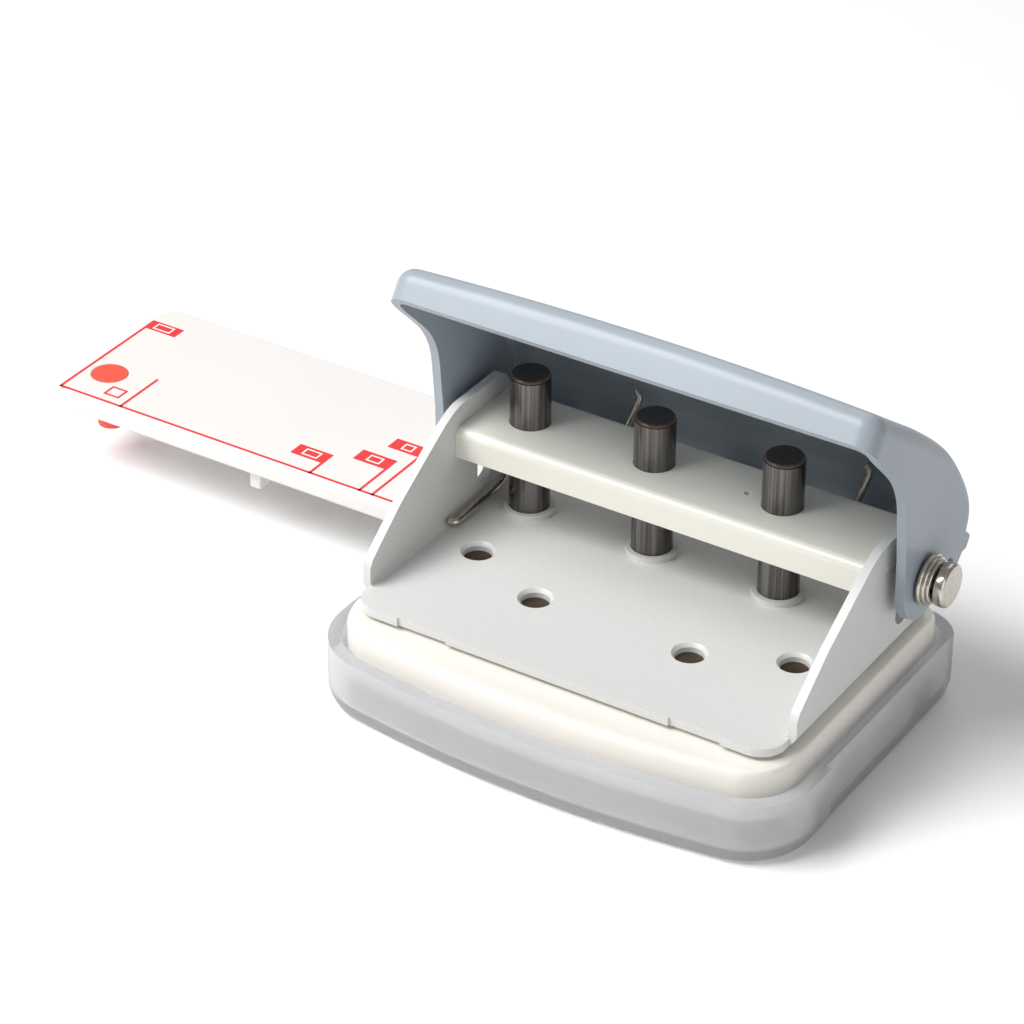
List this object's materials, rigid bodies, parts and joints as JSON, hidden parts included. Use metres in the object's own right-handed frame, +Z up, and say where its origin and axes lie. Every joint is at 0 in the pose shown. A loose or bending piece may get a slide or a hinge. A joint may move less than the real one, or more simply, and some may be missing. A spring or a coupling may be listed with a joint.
{
  "type": "three hole punch",
  "caption": "Compact desk paper punch with a lifting pressed-steel handle, a row of punch pins, a clip-on chip tray and a slide-in size guide.",
  "frame": {"origin": "on the underside of the chip tray, below the line of the punch pins and midway between the two ears of the frame", "axes": "+X along the row of pins towards the push head, +Y towards the side the paper enters from, +Z up"},
  "size_m": [0.1381, 0.0602, 0.0551],
  "materials": {
    "tray": "frosted translucent, soft sheen",
    "base": "warm ivory, soft gloss",
    "frame": "pale grey paint, fine texture",
    "bridge": "cream enamel",
    "handle": "light blue-grey, semi-gloss",
    "pin": "turned and polished",
    "cap": "black, satin",
    "nickel": "nickel plated, slightly warm",
    "spring": "nickel plated wire",
    "shaft": "dark steel",
    "die": "ground steel",
    "screw": "zinc plated",
    "guide": "warm white, satin, red print",
    "locator": "red"
  },
  "bodies": {
    "base": {"base_housing": "base", "die_plate": "die", "base_screws": "screw", "frame": "frame", "bridge": "bridge", "pivot_shaft": "shaft", "pivot_clips": "shaft", "spring_left": "spring", "spring_right": "spring"},
    "tray": {"chip_tray": "tray"},
    "handle": {"handle": "handle"},
    "punch": {"pin_left": "pin", "pin_centre": "pin", "pin_right": "pin", "pin_cap_left": "cap", "pin_cap_centre": "cap", "pin_cap_right": "cap"},
    "cross_shaft": {"cross_shaft": "nickel", "shaft_clip": "shaft", "lock_spring": "spring"},
    "guide": {"size_guide": "guide"},
    "locator": {"locating_pin": "locator"}
  },
  "joints": [
    {"name": "handle_hinge", "type": "hinge", "parent": "base", "child": "handle", "pos_m": [0, 0.0066, 0.0217], "axis": [1, 0, 0], "range_deg": [0, 37], "stiffness_Nm_per_rad": 0.2, "springref_deg": -34.38, "deforming": ["spring_left", "spring_right"]},
    {"name": "punch_slide", "type": "slide", "parent": "base", "child": "punch", "axis": [0, 0, -1], "range_m": [0, 0.0048]},
    {"name": "lock_push", "type": "slide", "parent": "punch", "child": "cross_shaft", "axis": [-1, 0, 0], "range_m": [0, 0.0015], "stiffness_N_per_m": 800, "springref_m": -0.003, "deforming": ["lock_spring"]},
    {"name": "guide_slide", "type": "slide", "parent": "base", "child": "guide", "axis": [-1, 0, 0], "range_m": [0, 0.02]},
    {"name": "locator_push", "type": "slide", "parent": "guide", "child": "locator", "axis": [0, 0, 1], "range_m": [0, 0.0028]},
    {"name": "tray_pull", "type": "slide", "parent": "base", "child": "tray", "axis": [0, 0, -1], "range_m": [0, 0.02]}
  ],
  "couplings": [
    {"joint": "punch_slide", "follows": "handle_hinge", "m_per_rad": 0.006962}
  ]
}
